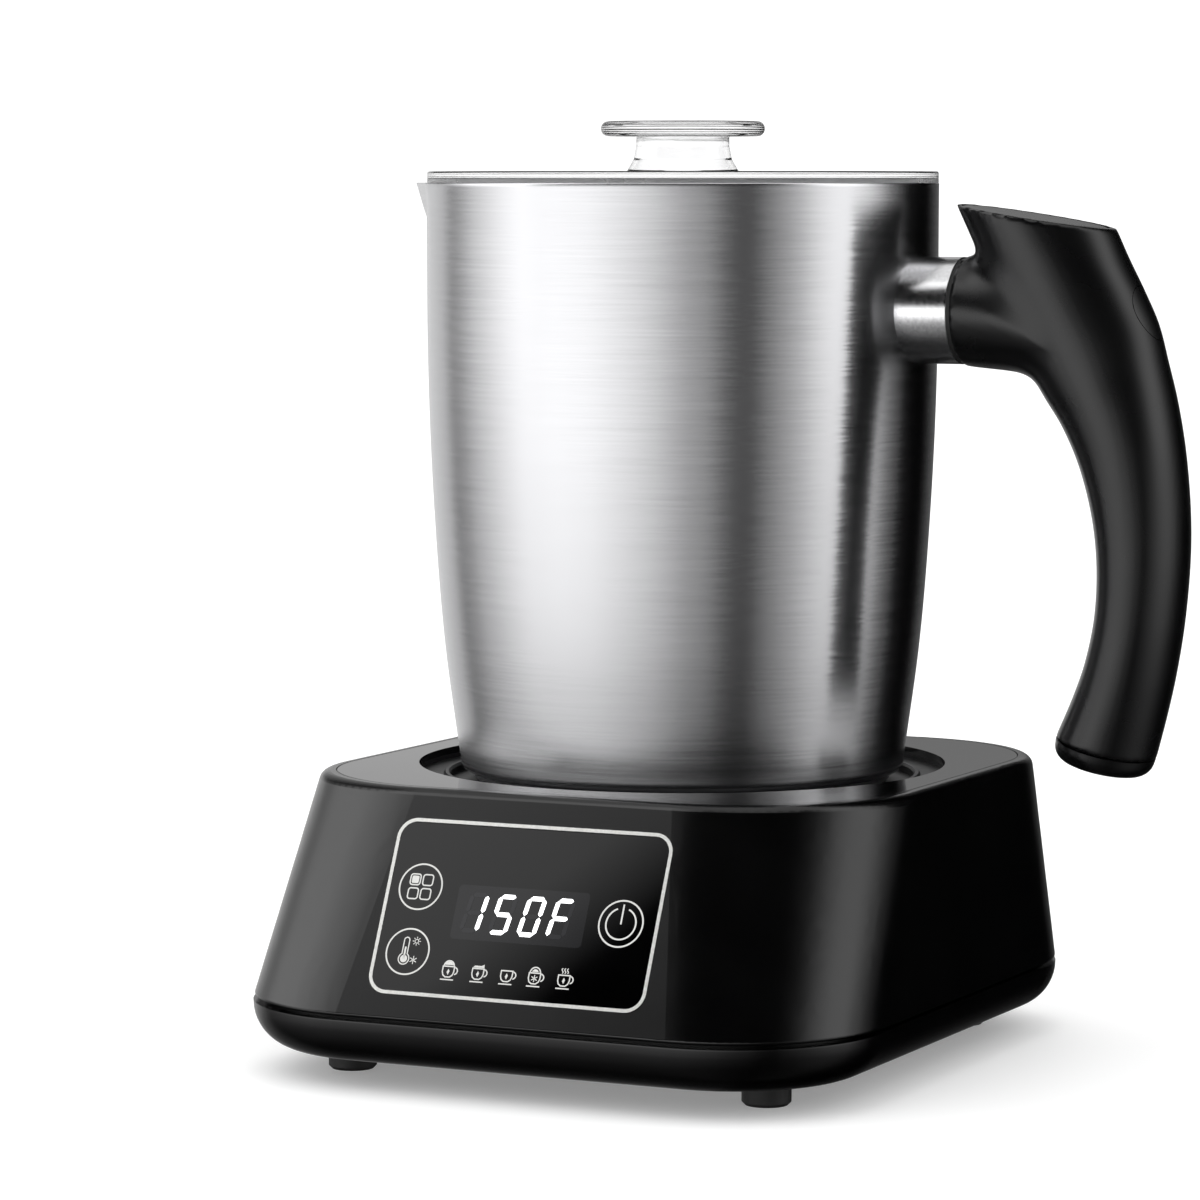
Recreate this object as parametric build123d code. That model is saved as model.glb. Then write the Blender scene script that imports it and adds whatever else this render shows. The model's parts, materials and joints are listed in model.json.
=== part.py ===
from build123d import *
import os
from math import cos, radians, sin, sqrt

# Milk frother: a brushed steel jug with a handle, a clear lid and a magnetically driven whisk,
# standing on a heating base with a touch display on its sloping front.
# Millimetres. Origin on the floor under the jug's axis, +X towards the handle,
# -Y towards the display, +Z up.

# ---- driving dimensions: base ------------------------------------------------------------
FOOT_HEIGHT = 5.2            # gap between the floor and the pan
SPLIT_Z = 15.4               # middle of the groove between pan and housing
GROOVE = 0.7                 # height of that groove
TOP_Z = 61.0                 # top face of the base
WALL = 2.6                   # moulded wall thickness
SPLIT_OUTLINE = (70.0, -88.9, 71.0, 32.5)   # half width, front y, back y, corner radius
TOP_OUTLINE = (67.2, -67.8, 67.2, 38.0)     # the same four at the top face
PAN_ROUND = 9.6             # radius of the pan's underside edge
HOUSING_TOP_ROUND = 2.4
HOUSING_FOOT_ROUND = 0.6
PLATE_INSET = 3.0            # rim of the housing left around the top plate
PLATE_THICKNESS = 1.5
DECK_THICKNESS = 2.5         # housing under the top plate
PAN_FLOOR = 2.4

# ---- driving dimensions: seat for the jug ------------------------------------------------
RECESS_R = 57.0
RECESS_DEPTH = 2.5
POCKET_R = 50.2
POCKET_DEPTH = 4.0
DISH_FLOOR = 2.0
GASKET_R = 41.0
GASKET_PROUD = 0.4

# ---- driving dimensions: front panel -----------------------------------------------------
PANEL_WIDTH = 62.6
PANEL_HEIGHT = 36.8
PANEL_CORNER = 3.8
PANEL_Z = 37.6               # height of the panel's centre
LENS_THICKNESS = 1.2
LENS_LEDGE = 2.6
BOARD_DEPTH = 10.0           # display board behind the lens's outer face

# ---- driving dimensions: jug -------------------------------------------------------------
RIM_Z = 186.0
JUG_WALL = 0.8
JUG_FLOOR_Z = 59.4           # underside of the steel shell
# outer radius and height up the wall, from the bottom bend to the rim
WALL_PROFILE = [(48.0, 62.0), (51.35, 87.4), (53.65, 117.6), (54.75, 145.0), (55.0, RIM_Z)]
JUG_BEND = 2.3
BASE_DISC_R = 45.0
# spout: height, reach from the axis, half width where it leaves the wall
SPOUT = [(RIM_Z, 64.4, 17.0), (179.0, 62.3, 13.0), (169.0, 58.4, 8.5), (157.0, 53.6, 4.0)]
POST_R = 2.5
POST_TOP = 79.0

# ---- driving dimensions: handle ----------------------------------------------------------
ARM_Z = 159.3                # height of the handle's horizontal arm
FERRULE_R = 11.25
FERRULE_END = 65.3           # distance of the ferrule's outer end from the jug's axis
ARM_R = 11.55
# grip sections from the thumb end down: centre x, centre z, tilt about Y, half depth, half width
GRIP = [
    (81.0, 179.1, 8.8, 17.3, 12.8),
    (84.6, 171.5, 4.0, 16.4, 13.1),
    (88.6, 162.5, -4.0, 15.9, 13.3),
    (92.8, 154.0, -11.0, 15.0, 13.4),
    (96.7, 145.5, -16.5, 13.4, 13.4),
    (99.8, 138.4, -14.0, 12.1, 13.4),
    (103.0, 127.5, -8.0, 10.7, 13.3),
    (105.1, 112.6, 0.0, 9.5, 13.2),
    (104.7, 97.3, 6.8, 8.9, 13.1),
    (102.7, 85.6, 11.3, 9.1, 13.1),
    (100.5, 77.8, 13.6, 9.6, 13.1),
    (97.4, 68.8, 14.0, 10.4, 13.1),
]
# elbow sections from the arm into the grip, in the same terms
ELBOW = [
    (66.0, ARM_Z, 90.0, ARM_R, ARM_R),
    (76.0, 158.0, 75.0, 12.1, 12.2),
    (86.0, 153.6, 52.0, 13.2, 12.8),
    (93.2, 148.0, 26.0, 12.6, 12.9),
    (98.4, 141.0, 4.0, 11.0, 12.6),
]
END_CAP_DEPTH = 4.2
SCREW_CAP_R = 5.7
THUMB_PAD = (15.9, 11.3, 1.8)   # half length, half width, thickness

# ---- driving dimensions: lid -------------------------------------------------------------
LID_R = 54.9
SEAL_THICKNESS = 0.9
LID_THICKNESS = 1.55
KNOB_R = 17.6
KNOB_DISC = 3.2
NECK_R = 10.0
NECK_FLARE_R = 12.0
NECK_HEIGHT = 7.5
NECK_WALL = 1.1

# ---- driving dimensions: whisk -----------------------------------------------------------
HUB_R = 11.0
HUB_Z = 62.2
HUB_TUBE_R = 5.0
WHISK_RING_R = 20.0
WHISK_WIRE_R = 1.1
COIL_R = 4.2
RING_Z = 75.0
ARM_GAP = 5.0                # degrees left clear each side of a whisk arm
RUNNING_FIT = 0.07

# ---- driving dimensions: inside the base -------------------------------------------------
BRACKET_Z = 40.0
BRACKET_POST_R = 32.0
MOTOR_R = 14.0
MOTOR_LENGTH = 24.0
SHAFT_R = 1.5
FORMER_Z = 46.5
FORMER_POST_R = 48.0
ROTOR_R = 12.5
SENSOR_Y = 17.0
SENSOR_R = 2.6
BOARD_Z = 12.5
FAN_CENTRE = (-36.0, -44.0)
FAN_SIZE = 30.0
GLAND_X = 34.0
GLAND_Z = 29.0
FOOT_X = 47.7
FOOT_YS = (-62.0, 45.0)
FOOT_R = 5.1
PAN_SCREWS = [(x, y) for x in (-58.5, 58.5) for y in (-36.0, 36.0)]

BASE = (Align.CENTER, Align.CENTER, Align.MIN)
PAN_TOP = SPLIT_Z - GROOVE / 2
HOUSING_FOOT = SPLIT_Z + GROOVE / 2
PLATE_Z = TOP_Z - PLATE_THICKNESS
DECK_Z = PLATE_Z - DECK_THICKNESS
PAN_INSIDE = FOOT_HEIGHT + PAN_FLOOR
POCKET_Z = TOP_Z - POCKET_DEPTH
SEAT_Z = POCKET_Z + GASKET_PROUD
JUG_INSIDE = JUG_FLOOR_Z + JUG_WALL
LID_Z = RIM_Z + SEAL_THICKNESS
LID_TOP = LID_Z + LID_THICKNESS
KNOB_Z = LID_TOP + NECK_HEIGHT


# ---- shared shapes -----------------------------------------------------------------------
def disc(radius, z0, z1, x=0.0, y=0.0):
    """A cylinder standing between two heights."""
    return Pos(x, y, z0) * Cylinder(radius, z1 - z0, align=BASE)


def tube(outer, inner, z0, z1, x=0.0, y=0.0):
    """A ring standing between two heights."""
    return disc(outer, z0, z1, x, y) - disc(inner, z0 - 1, z1 + 1, x, y)


def rod_x(radius, x0, x1, y=0.0, z=ARM_Z):
    """A cylinder lying along X."""
    return Pos(x0, y, z) * Rot(0, 90, 0) * Cylinder(radius, x1 - x0, align=BASE)


def rod_y(radius, y0, y1, x, z):
    """A cylinder lying along Y."""
    return Pos(x, y0, z) * Rot(-90, 0, 0) * Cylinder(radius, y1 - y0, align=BASE)


def block(x0, x1, y0, y1, z0, z1):
    """A box between two corners."""
    centre = Pos((x0 + x1) / 2, (y0 + y1) / 2, z0)
    return centre * Box(x1 - x0, y1 - y0, z1 - z0, align=BASE)


def lathe(*points):
    """A closed profile of (radius, height) points turned about Z."""
    return revolve(Plane.XZ * make_face(Polyline(*points, close=True)), Axis.Z)


def polar(radius, angle):
    """A point at a radius and an angle in degrees about the jug's axis."""
    return radius * cos(radians(angle)), radius * sin(radians(angle))


def group(shapes):
    """Several separate solids in one node."""
    return Compound(children=[s for shape in shapes for s in shape.solids()])


def screw(x, y, z_under_head, length, radius=1.5):
    """A pan-head screw pointing down, with a cross slot."""
    head = disc(radius * 2, z_under_head, z_under_head + radius * 1.2, x, y)
    slot_z = z_under_head + radius * 0.6
    half, width = radius * 1.2, radius * 0.25
    slots = block(x - half, x + half, y - width, y + width, slot_z, slot_z + radius)
    slots += block(x - width, x + width, y - half, y + half, slot_z, slot_z + radius)
    return head + disc(radius, z_under_head - length, z_under_head, x, y) - slots


def screw_up(x, y, z_under_head, length, radius=1.5):
    """The same screw pointing up, driven from below."""
    flip = Pos(0, 0, z_under_head) * Rot(180, 0, 0)
    return flip * screw(x, -y, 0.0, length, radius)


# ---- base shell --------------------------------------------------------------------------
def stand_outline(z, inset=0.0):
    """The base's rounded outline at a height, drawn in by an inset."""
    t = (z - SPLIT_Z) / (TOP_Z - SPLIT_Z)
    half, front, back, corner = (
        low + t * (high - low) for low, high in zip(SPLIT_OUTLINE, TOP_OUTLINE)
    )
    width, depth = 2 * (half - inset), back - front - 2 * inset
    shape = RectangleRounded(width, depth, corner - inset)
    return Pos(0, (front + back) / 2, z) * shape


def panel_plane():
    """Plane of the sloping front face, at the panel's centre, facing out."""
    rise = TOP_Z - SPLIT_Z
    lean = TOP_OUTLINE[1] - SPLIT_OUTLINE[1]
    length = sqrt(rise**2 + lean**2)
    y = SPLIT_OUTLINE[1] + lean * (PANEL_Z - SPLIT_Z) / rise
    return Plane(origin=(0, y, PANEL_Z), x_dir=(1, 0, 0), z_dir=(0, -rise / length, lean / length))


PANEL = panel_plane()


def on_panel(shape, x=0.0, y=0.0, depth=0.0):
    """Puts a shape on the front face: x across, y up the slope, depth inwards."""
    return PANEL * Pos(x, y, -depth) * shape


def base_housing():
    outer = loft([stand_outline(HOUSING_FOOT), stand_outline(TOP_Z)], ruled=True)
    outer = fillet(outer.faces().sort_by(Axis.Z)[-1].edges(), HOUSING_TOP_ROUND)
    outer = fillet(outer.faces().sort_by(Axis.Z)[0].edges(), HOUSING_FOOT_ROUND)
    inner = loft([stand_outline(HOUSING_FOOT - 1, WALL), stand_outline(DECK_Z, WALL)], ruled=True)
    shell = outer - inner
    shell -= extrude(stand_outline(TOP_Z, PLATE_INSET), -PLATE_THICKNESS)
    shell -= disc(RECESS_R + 2, DECK_Z - 1, TOP_Z)
    shell -= on_panel(panel_blank(0.05, LENS_THICKNESS + 5), depth=LENS_THICKNESS)
    shell -= on_panel(panel_blank(-LENS_LEDGE, WALL + 4), depth=WALL + 3)
    for x, y in PAN_SCREWS:
        boss = disc(4.0, PAN_TOP + 2.0, DECK_Z, x, y) - disc(1.3, PAN_TOP + 1, 30, x, y)
        shell += boss
    for x, y in BOARD_POSTS:
        post = Cylinder(2.2, BOARD_DEPTH - WALL + 0.8, align=BASE)
        shell += on_panel(post, x, y, BOARD_DEPTH)
        shell -= on_panel(Cylinder(1.1, 8.0), x, y, BOARD_DEPTH)
    shell -= rod_y(6.8, SPLIT_OUTLINE[2] - 1.4, SPLIT_OUTLINE[2] + 5, GLAND_X, GLAND_Z)
    shell -= rod_y(5.0, SPLIT_OUTLINE[2] - 9, SPLIT_OUTLINE[2] + 5, GLAND_X, GLAND_Z)
    return shell


def panel_blank(grow, thickness):
    """The panel's rounded rectangle, grown all round, as a slab from z = 0 up."""
    width, height = PANEL_WIDTH + 2 * grow, PANEL_HEIGHT + 2 * grow
    return extrude(RectangleRounded(width, height, PANEL_CORNER + grow), thickness)


BOARD_POSTS = [(x, y) for x in (-29.6, 29.6) for y in (-16.6, 16.6)]


def base_pan():
    tall = PAN_TOP - FOOT_HEIGHT
    outline = Pos(0, 0, FOOT_HEIGHT - SPLIT_Z) * stand_outline(SPLIT_Z)
    outer = extrude(outline, tall)
    outer = fillet(outer.faces().sort_by(Axis.Z)[0].edges(), PAN_ROUND)
    hollow = extrude(Pos(0, 0, PAN_INSIDE - SPLIT_Z) * stand_outline(SPLIT_Z, WALL), tall)
    hollow = fillet(hollow.faces().sort_by(Axis.Z)[0].edges(), PAN_ROUND - WALL)
    pan = outer - hollow
    pan += pan_tongue()
    posts = [polar(BRACKET_POST_R, a) + (4.0, BRACKET_Z) for a in (90, 210, 330)]
    posts += [polar(FORMER_POST_R, a) + (3.6, FORMER_Z) for a in (30, 150, 270)]
    posts += [(x, y, 2.6, BOARD_Z) for x, y in BOARD_SCREWS]
    for x, y, radius, top in posts:
        pan += disc(radius, PAN_INSIDE, top, x, y)
        pan -= disc(1.2, PAN_INSIDE + 1, top + 1, x, y)
    for x, y in PAN_SCREWS:
        pan += disc(4.4, FOOT_HEIGHT + 1, PAN_TOP + 1.8, x, y)
        pan -= disc(3.2, FOOT_HEIGHT - 1, FOOT_HEIGHT + 4, x, y)
        pan -= disc(1.6, FOOT_HEIGHT - 1, PAN_TOP + 3, x, y)
    for y in FOOT_YS:
        for x in (-FOOT_X, FOOT_X):
            pan -= disc(FOOT_R, FOOT_HEIGHT - 1, FOOT_HEIGHT + 1.2, x, y)
    for centre in (FAN_CENTRE[0], -FAN_CENTRE[0]):
        for i in range(-2, 3):
            slot = extrude(SlotOverall(24 - 3 * abs(i), 2.4, rotation=90), 6)
            pan -= Pos(centre + 5 * i, FAN_CENTRE[1], FOOT_HEIGHT - 1) * slot
    return pan


def pan_tongue():
    """Lip that rises from the pan inside the housing's wall."""
    low = Pos(0, 0, PAN_TOP - 3.0 - SPLIT_Z)
    step = extrude(low * stand_outline(SPLIT_Z, WALL - 0.1), 3.0)
    lip = extrude(low * stand_outline(SPLIT_Z, WALL + 1.2), 5.4)
    return step + lip - extrude(low * stand_outline(SPLIT_Z, WALL + 2.6), 5.4)


def top_plate():
    plate = extrude(stand_outline(TOP_Z, PLATE_INSET + 0.12), -PLATE_THICKNESS)
    plate = fillet(plate.faces().sort_by(Axis.Z)[-1].edges(), 0.25)
    return plate - disc(RECESS_R, PLATE_Z - 1, TOP_Z + 1)


def seat_dish():
    floor_z, recess_z = POCKET_Z - DISH_FLOOR, TOP_Z - RECESS_DEPTH
    dish = lathe(
        (0, floor_z), (RECESS_R + 6, floor_z), (RECESS_R + 6, DECK_Z),
        (RECESS_R + 1.9, DECK_Z), (RECESS_R + 1.9, PLATE_Z), (RECESS_R, PLATE_Z),
        (RECESS_R, recess_z), (POCKET_R + 1.5, recess_z), (POCKET_R + 1.1, recess_z + 0.55),
        (POCKET_R + 0.4, recess_z + 0.55), (POCKET_R, recess_z), (POCKET_R, POCKET_Z), (0, POCKET_Z),
    )
    dish -= tube(GASKET_R + 2, GASKET_R - 2, POCKET_Z - 0.9, POCKET_Z + 1)
    dish -= disc(SENSOR_R + RUNNING_FIT, floor_z - 1, POCKET_Z + 1, 0, SENSOR_Y)
    for angle in DISH_SCREW_ANGLES:
        dish -= disc(1.5, floor_z - 1, DECK_Z + 1, *polar(RECESS_R + 4, angle))
    return dish


DISH_SCREW_ANGLES = (60, 180, 300)


def dish_screws():
    floor_z = POCKET_Z - DISH_FLOOR
    spots = [polar(RECESS_R + 4, a) for a in DISH_SCREW_ANGLES]
    return group([screw_up(x, y, floor_z, 1.9, 1.4) for x, y in spots])


def seat_gasket():
    ring = tube(GASKET_R + 2, GASKET_R - 2, POCKET_Z - 0.9, SEAT_Z)
    return fillet(ring.edges().group_by(Axis.Z)[-1], 0.35)


def rubber_feet():
    foot = disc(FOOT_R, 0, FOOT_HEIGHT + 1.2)
    foot = chamfer(foot.edges().sort_by(Axis.Z)[0], 0.7)
    return group([Pos(x, y, 0) * foot for x in (-FOOT_X, FOOT_X) for y in FOOT_YS])


def pan_screws():
    return group([screw_up(x, y, FOOT_HEIGHT + 4, 20.0, 1.3) for x, y in PAN_SCREWS])


def cord_gland():
    back = SPLIT_OUTLINE[2]
    gland = rod_y(6.5, back - 1.4, back, GLAND_X, GLAND_Z)
    gland += rod_y(4.9, back - 16, back - 1.4, GLAND_X, GLAND_Z)
    gland = chamfer(gland.faces().sort_by(Axis.Y)[-1].edges(), 0.5)
    return gland - rod_y(3.4, back - 17, back + 1, GLAND_X, GLAND_Z)


# ---- front panel -------------------------------------------------------------------------
def display_lens():
    return on_panel(panel_blank(0.0, LENS_THICKNESS), depth=LENS_THICKNESS)


def display_board():
    board = extrude(RectangleRounded(64, 37.5, 2.5), 1.6)
    for x, y in BOARD_POSTS:
        board -= Pos(x, y, -1) * Cylinder(1.2, 4, align=BASE)
    return on_panel(board, depth=BOARD_DEPTH + 1.6)


def display_module():
    """Four-digit display block between the board and the lens."""
    depth = BOARD_DEPTH - LENS_THICKNESS - 0.4
    block_ = extrude(RectangleRounded(27.5, 13, 0.6), depth)
    return on_panel(block_, y=1.6, depth=BOARD_DEPTH)


TOUCH_KEYS = [(-25.4, 2.6), (-25.4, -11.0), (22.6, 1.0)]


def touch_springs():
    """Contact springs between the board and the touch keys, as plain sleeves."""
    depth = BOARD_DEPTH - LENS_THICKNESS
    sleeve = Cylinder(3.2, depth, align=BASE) - Cylinder(2.6, 3 * depth)
    return group([on_panel(sleeve, x, y, BOARD_DEPTH) for x, y in TOUCH_KEYS])


def display_screws():
    below = BOARD_DEPTH + 1.6
    turned = Rot(180, 0, 0) * screw(0, 0, 0, 5.0, 1.1)
    return group([on_panel(turned, x, y, below) for x, y in BOARD_POSTS])


# ---- inside the base ---------------------------------------------------------------------
def motor_can():
    can = disc(MOTOR_R, BRACKET_Z - MOTOR_LENGTH, BRACKET_Z)
    can = fillet(can.edges().sort_by(Axis.Z)[0], 1.5)
    can += disc(3.5, BRACKET_Z, BRACKET_Z + 1.6)
    return can - disc(SHAFT_R + RUNNING_FIT, BRACKET_Z - 12, BRACKET_Z + 3)


def motor_bracket():
    plate = disc(17, BRACKET_Z, BRACKET_Z + 1.6)
    for angle in (90, 210, 330):
        arm = block(0, BRACKET_POST_R, -4.5, 4.5, BRACKET_Z, BRACKET_Z + 1.6)
        arm += disc(4.5, BRACKET_Z, BRACKET_Z + 1.6, BRACKET_POST_R, 0)
        plate += Rot(0, 0, angle) * arm
    plate -= disc(3.5, BRACKET_Z - 1, BRACKET_Z + 3)
    for angle in (90, 210, 330):
        plate -= disc(1.5, BRACKET_Z - 1, BRACKET_Z + 3, *polar(BRACKET_POST_R, angle))
    return plate


def bracket_screws():
    spots = [polar(BRACKET_POST_R, a) for a in (90, 210, 330)]
    return group([screw(x, y, BRACKET_Z + 1.6, 9.0, 1.1) for x, y in spots])


def motor_shaft():
    return disc(SHAFT_R, BRACKET_Z - 11, FORMER_Z + 4)


def magnet_rotor():
    rotor = disc(ROTOR_R, FORMER_Z - 0.5, FORMER_Z + 4.5)
    rotor += disc(4.0, FORMER_Z - 3.5, FORMER_Z - 0.5)
    rotor -= disc(SHAFT_R, FORMER_Z - 5, FORMER_Z + 4)
    for angle in MAGNET_ANGLES:
        rotor -= disc(3.0, FORMER_Z + 1, FORMER_Z + 6, *polar(8.2, angle))
    return rotor


MAGNET_ANGLES = (45, 135, 225, 315)


def drive_magnets():
    spots = [polar(8.2, a) for a in MAGNET_ANGLES]
    return group([disc(3.0, FORMER_Z + 1, FORMER_Z + 4.5, x, y) for x, y in spots])


def coil_former():
    former = tube(44, 14.2, FORMER_Z, FORMER_Z + 2)
    for angle in (30, 150, 270):
        ear = block(40, FORMER_POST_R, -4, 4, FORMER_Z, FORMER_Z + 2)
        ear += disc(4, FORMER_Z, FORMER_Z + 2, FORMER_POST_R, 0)
        former += Rot(0, 0, angle) * (ear - disc(1.5, FORMER_Z - 1, FORMER_Z + 3, FORMER_POST_R, 0))
    former -= disc(1.2 + RUNNING_FIT, FORMER_Z - 1, FORMER_Z + 3, 0, SENSOR_Y)
    return former


def former_screws():
    spots = [polar(FORMER_POST_R, a) for a in (30, 150, 270)]
    return group([screw(x, y, FORMER_Z + 2, 9.0, 1.1) for x, y in spots])


def induction_coil():
    """Flat winding as closed turns side by side."""
    z = FORMER_Z + 2
    turns = [21.5 + 2.0 * i for i in range(11)]
    return group([tube(r + 0.95, r - 0.95, z, z + 2.6) for r in turns])


def ferrite_bars():
    bar = block(18, 43, -3.5, 3.5, FORMER_Z - 3.5, FORMER_Z)
    bar = chamfer(bar.edges().filter_by(Axis.Z), 0.8)
    return group([Rot(0, 0, a) * bar for a in (0, 60, 120, 180, 240, 300)])


def sensor_plunger():
    z = POCKET_Z - 4
    head = disc(SENSOR_R, z, SEAT_Z - 0.05, 0, SENSOR_Y)
    head = fillet(head.edges().sort_by(Axis.Z)[-1], 0.6)
    return head + disc(1.2, FORMER_Z - 2.5, z, 0, SENSOR_Y)


def sensor_spring():
    """Closed outer shape of the plunger's spring."""
    return tube(2.3, 1.5, FORMER_Z + 2, POCKET_Z - 4, 0, SENSOR_Y)


BOARD_SCREWS = [(x, y) for x in (-42.0, 42.0) for y in (41.0, 59.0)]


def power_board():
    board = block(-46, 46, 37, 62.5, BOARD_Z, BOARD_Z + 1.6)
    board = chamfer(board.edges().filter_by(Axis.Z), 3.0)
    for x, y in BOARD_SCREWS:
        board -= disc(1.5, BOARD_Z - 1, BOARD_Z + 3, x, y)
    return board


def board_screws():
    return group([screw(x, y, BOARD_Z + 1.6, 4.0, 1.1) for x, y in BOARD_SCREWS])


def heatsink():
    z = BOARD_Z + 1.6
    sink = block(-16, 16, 50, 52, z, z + 22)
    for i in range(8):
        sink += block(-16 + 4.4 * i, -14.8 + 4.4 * i, 52, 59, z, z + 22)
    return sink


def power_transistors():
    z = BOARD_Z + 1.6
    body = block(-5, 5, 46.5, 50, z + 3, z + 16)
    for i in (-1, 0, 1):
        body += block(3 * i - 0.6, 3 * i + 0.6, 47.6, 48.4, z, z + 3)
    return group([Pos(x, 0, 0) * body for x in (-8.5, 8.5)])


def capacitors():
    z = BOARD_Z + 1.6
    film = fillet(block(-39, -21, 39, 48, z, z + 15).edges().filter_by(Axis.Z), 0.8)
    can = fillet(disc(5.5, z, z + 20, 27, 43.5).edges().sort_by(Axis.Z)[-1], 0.8)
    return group([film, can])


def choke_coil():
    z = BOARD_Z + 1.6
    ring = tube(7.5, 3.6, z, z + 8, -29, 56)
    return fillet(ring.edges(), 1.2)


def line_fuse():
    z = BOARD_Z + 1.6
    glass = rod_x(2.4, 20.5, 35.5, 52.5, z + 3.4)
    caps = rod_x(2.9, 18.5, 23, 52.5, z + 3.4) + rod_x(2.9, 33, 37.5, 52.5, z + 3.4)
    return glass + caps


def terminal_block():
    z = BOARD_Z + 1.6
    body = block(19, 36, 56.5, 62, z, z + 9)
    for i in range(3):
        body -= disc(1.6, z + 4, z + 10, 22.5 + 5 * i, 59.2)
    return body


def fan_frame():
    x, y = FAN_CENTRE
    half = FAN_SIZE / 2
    z0, z1 = PAN_INSIDE + 0.6, PAN_INSIDE + 8.6
    frame = block(x - half, x + half, y - half, y + half, z0, z1)
    frame = fillet(frame.edges().filter_by(Axis.Z), 3)
    frame -= disc(13.4, z0 - 1, z1 + 1, x, y)
    for angle in (0, 90, 180, 270):
        arm = block(0, 14.2, -1, 1, z0, z0 + 1.2)
        frame += Pos(x, y, 0) * Rot(0, 0, angle + 45) * arm
    frame += disc(5, z0, z0 + 1.2, x, y) + disc(1.0, z0, z0 + 6, x, y)
    for dx in (-12, 12):
        for dy in (-12, 12):
            frame += disc(2.0, PAN_INSIDE, z0, x + dx, y + dy)
            frame -= disc(1.0, PAN_INSIDE - 0.5, z1 + 1, x + dx, y + dy)
    return frame


def fan_screws():
    x, y = FAN_CENTRE
    spots = [(x + dx, y + dy) for dx in (-12, 12) for dy in (-12, 12)]
    return group([screw(a, b, PAN_INSIDE + 8.6, 8.4, 0.95) for a, b in spots])


def fan_rotor():
    x, y = FAN_CENTRE
    z0 = PAN_INSIDE + 2.2
    rotor = disc(5.8, z0, z0 + 6) - disc(1.0 + RUNNING_FIT, z0 - 1, z0 + 5)
    blade = Pos(9.0, 0, z0 + 3) * Rot(35, 0, 0) * Box(7.4, 0.9, 6.2)
    for i in range(7):
        rotor += Rot(0, 0, i * 360 / 7) * blade
    return Pos(x, y, 0) * rotor


# ---- jug ---------------------------------------------------------------------------------
def jug_form(inset, floor_z, top_z):
    """Solid of the jug's outline, drawn in by an inset, between a floor and a top."""
    points = [(r - inset, z) for r, z in WALL_PROFILE]
    points[0] = (points[0][0], floor_z + JUG_BEND + 0.3)
    points[-1] = (points[-1][0], top_z)
    wall = Spline(*points, tangents=[(0.12, 1), (0, 1)])
    start, end = points[0], points[-1]
    rest = Polyline(end, (0, end[1]), (0, floor_z), (start[0] - 0.3, floor_z), start)
    turned = revolve(Plane.XZ * make_face([wall, *rest.edges()]), Axis.Z)
    return fillet(turned.edges().group_by(Axis.Z)[0], JUG_BEND - inset)


def spout_form(inset):
    """Solid of the pouring lip, drawn in by an inset."""
    sections = []
    for z, reach, half in SPOUT:
        tip, side = reach - 1.3 * inset, max(half - inset, 1.5)
        nose = make_face(Polyline((-tip, 0), (-45, -side * 1.8), (-45, side * 1.8), close=True))
        nose = fillet(nose.vertices().sort_by(Axis.X)[0], 2.4)
        sections.append(Pos(0, 0, z) * nose)
    return loft(sections)


def jug_body():
    shell = jug_form(0.0, JUG_FLOOR_Z, RIM_Z) + spout_form(0.0)
    lip = Pos(0, 0, 0.01) * spout_form(JUG_WALL)
    return shell - jug_form(JUG_WALL, JUG_INSIDE, RIM_Z + 0.01) - lip


def jug_bottom_plate():
    plate = disc(BASE_DISC_R, SEAT_Z, JUG_FLOOR_Z)
    return chamfer(plate.edges().sort_by(Axis.Z)[0], 0.8)


def whisk_post():
    post = disc(POST_R, JUG_INSIDE, POST_TOP) + disc(6.0, JUG_INSIDE, JUG_INSIDE + 1.2)
    return fillet(post.edges().sort_by(Axis.Z)[-1], 1.2)


def handle_boss():
    """Threaded boss welded to the jug's side."""
    boss = rod_x(9.4, 50, 60) - jug_form(0.0, JUG_FLOOR_Z, RIM_Z)
    return boss - rod_x(2.0, 55.6, 61)


def handle_ferrule():
    sleeve = rod_x(FERRULE_R, 50, FERRULE_END) - rod_x(FERRULE_R - 1.0, 49, FERRULE_END + 1)
    return sleeve - jug_form(0.0, JUG_FLOOR_Z, RIM_Z)


def ferrule_washer():
    return rod_x(FERRULE_R - 0.2, FERRULE_END, ELBOW[0][0]) - rod_x(10.15, 60, 70)


def section(x, z, tilt, deep, wide):
    """An ellipse across the handle: tilt turns it about Y, 0 is level."""
    level = (cos(radians(tilt)), 0, -sin(radians(tilt)))
    normal = (sin(radians(tilt)), 0, cos(radians(tilt)))
    return Plane(origin=(x, 0, z), x_dir=level, z_dir=normal) * Ellipse(deep, wide)


def grip_form():
    """Whole outer form of the handle, before bores and pockets."""
    grip = loft([section(*s) for s in GRIP])
    root = Plane(origin=(ELBOW[0][0], 0, ARM_Z), x_dir=(0, 0, -1), z_dir=(1, 0, 0))
    elbow = [root * Ellipse(ARM_R, ARM_R)] + [section(*s) for s in ELBOW[1:]]
    return grip + loft(elbow)


def thumb_pad_form(grow, depth):
    x, z, tilt, _, _ = GRIP[0]
    long, wide, _ = THUMB_PAD
    return extrude(section(x - 0.2, z, tilt, long + grow, wide + grow), -depth)


def handle_grip():
    body = grip_form()
    body -= thumb_pad_form(0.25, THUMB_PAD[2])
    body += rod_x(10.1, 60.1, 75)
    body -= rod_x(2.3, 58, 100)
    body -= rod_x(4.1, 95, 125)
    return body - rod_x(SCREW_CAP_R, 99, 125)


def thumb_pad():
    pad = thumb_pad_form(0.0, THUMB_PAD[2])
    top = pad.faces().sort_by(Axis.Z)[-1]
    return fillet(top.edges(), 0.5)


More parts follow.
